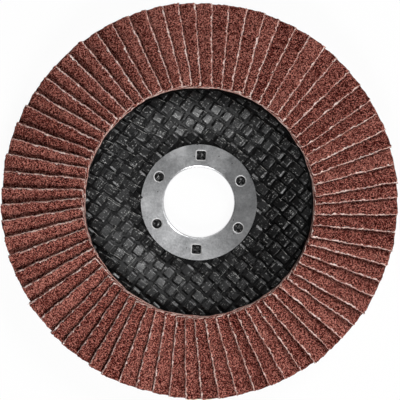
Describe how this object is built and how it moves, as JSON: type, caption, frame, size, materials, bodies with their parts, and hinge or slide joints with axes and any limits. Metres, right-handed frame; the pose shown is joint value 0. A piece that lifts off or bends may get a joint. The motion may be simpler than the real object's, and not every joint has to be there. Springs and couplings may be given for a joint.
{
  "type": "flap disc",
  "caption": "Conical flap disc for an angle grinder: overlapping abrasive cloth flaps glued round a dished fibreglass plate with a steel centre ring.",
  "frame": {"origin": "centre of the bore on the hub's back face", "axes": "+Z along the bore axis, from the back towards the abrasive flaps"},
  "size_m": [0.125, 0.125, 0.0135],
  "materials": {
    "abrasive_cloth": "coarse grain on cloth",
    "glass_laminate": "woven, half gloss",
    "epoxy": "cured resin",
    "zinc_plated_steel": "satin zinc plate"
  },
  "bodies": {
    "root": {"backing_plate": "glass_laminate", "centre_ring": "zinc_plated_steel", "adhesive_bed": "epoxy", "flap_pair_01": "abrasive_cloth", "flap_pair_02": "abrasive_cloth", "flap_pair_03": "abrasive_cloth", "flap_pair_04": "abrasive_cloth", "flap_pair_05": "abrasive_cloth", "flap_pair_06": "abrasive_cloth", "flap_pair_07": "abrasive_cloth", "flap_pair_08": "abrasive_cloth", "flap_pair_09": "abrasive_cloth", "flap_pair_10": "abrasive_cloth", "flap_pair_11": "abrasive_cloth", "flap_pair_12": "abrasive_cloth", "flap_pair_13": "abrasive_cloth", "flap_pair_14": "abrasive_cloth", "flap_pair_15": "abrasive_cloth", "flap_pair_16": "abrasive_cloth", "flap_pair_17": "abrasive_cloth", "flap_pair_18": "abrasive_cloth", "flap_pair_19": "abrasive_cloth", "flap_pair_20": "abrasive_cloth", "flap_pair_21": "abrasive_cloth", "flap_pair_22": "abrasive_cloth", "flap_pair_23": "abrasive_cloth", "flap_pair_24": "abrasive_cloth", "flap_pair_25": "abrasive_cloth", "flap_pair_26": "abrasive_cloth", "flap_pair_27": "abrasive_cloth", "flap_pair_28": "abrasive_cloth", "flap_pair_29": "abrasive_cloth", "flap_pair_30": "abrasive_cloth", "flap_pair_31": "abrasive_cloth", "flap_pair_32": "abrasive_cloth", "flap_pair_33": "abrasive_cloth", "flap_pair_34": "abrasive_cloth", "flap_pair_35": "abrasive_cloth", "flap_pair_36": "abrasive_cloth"}
  },
  "joints": []
}
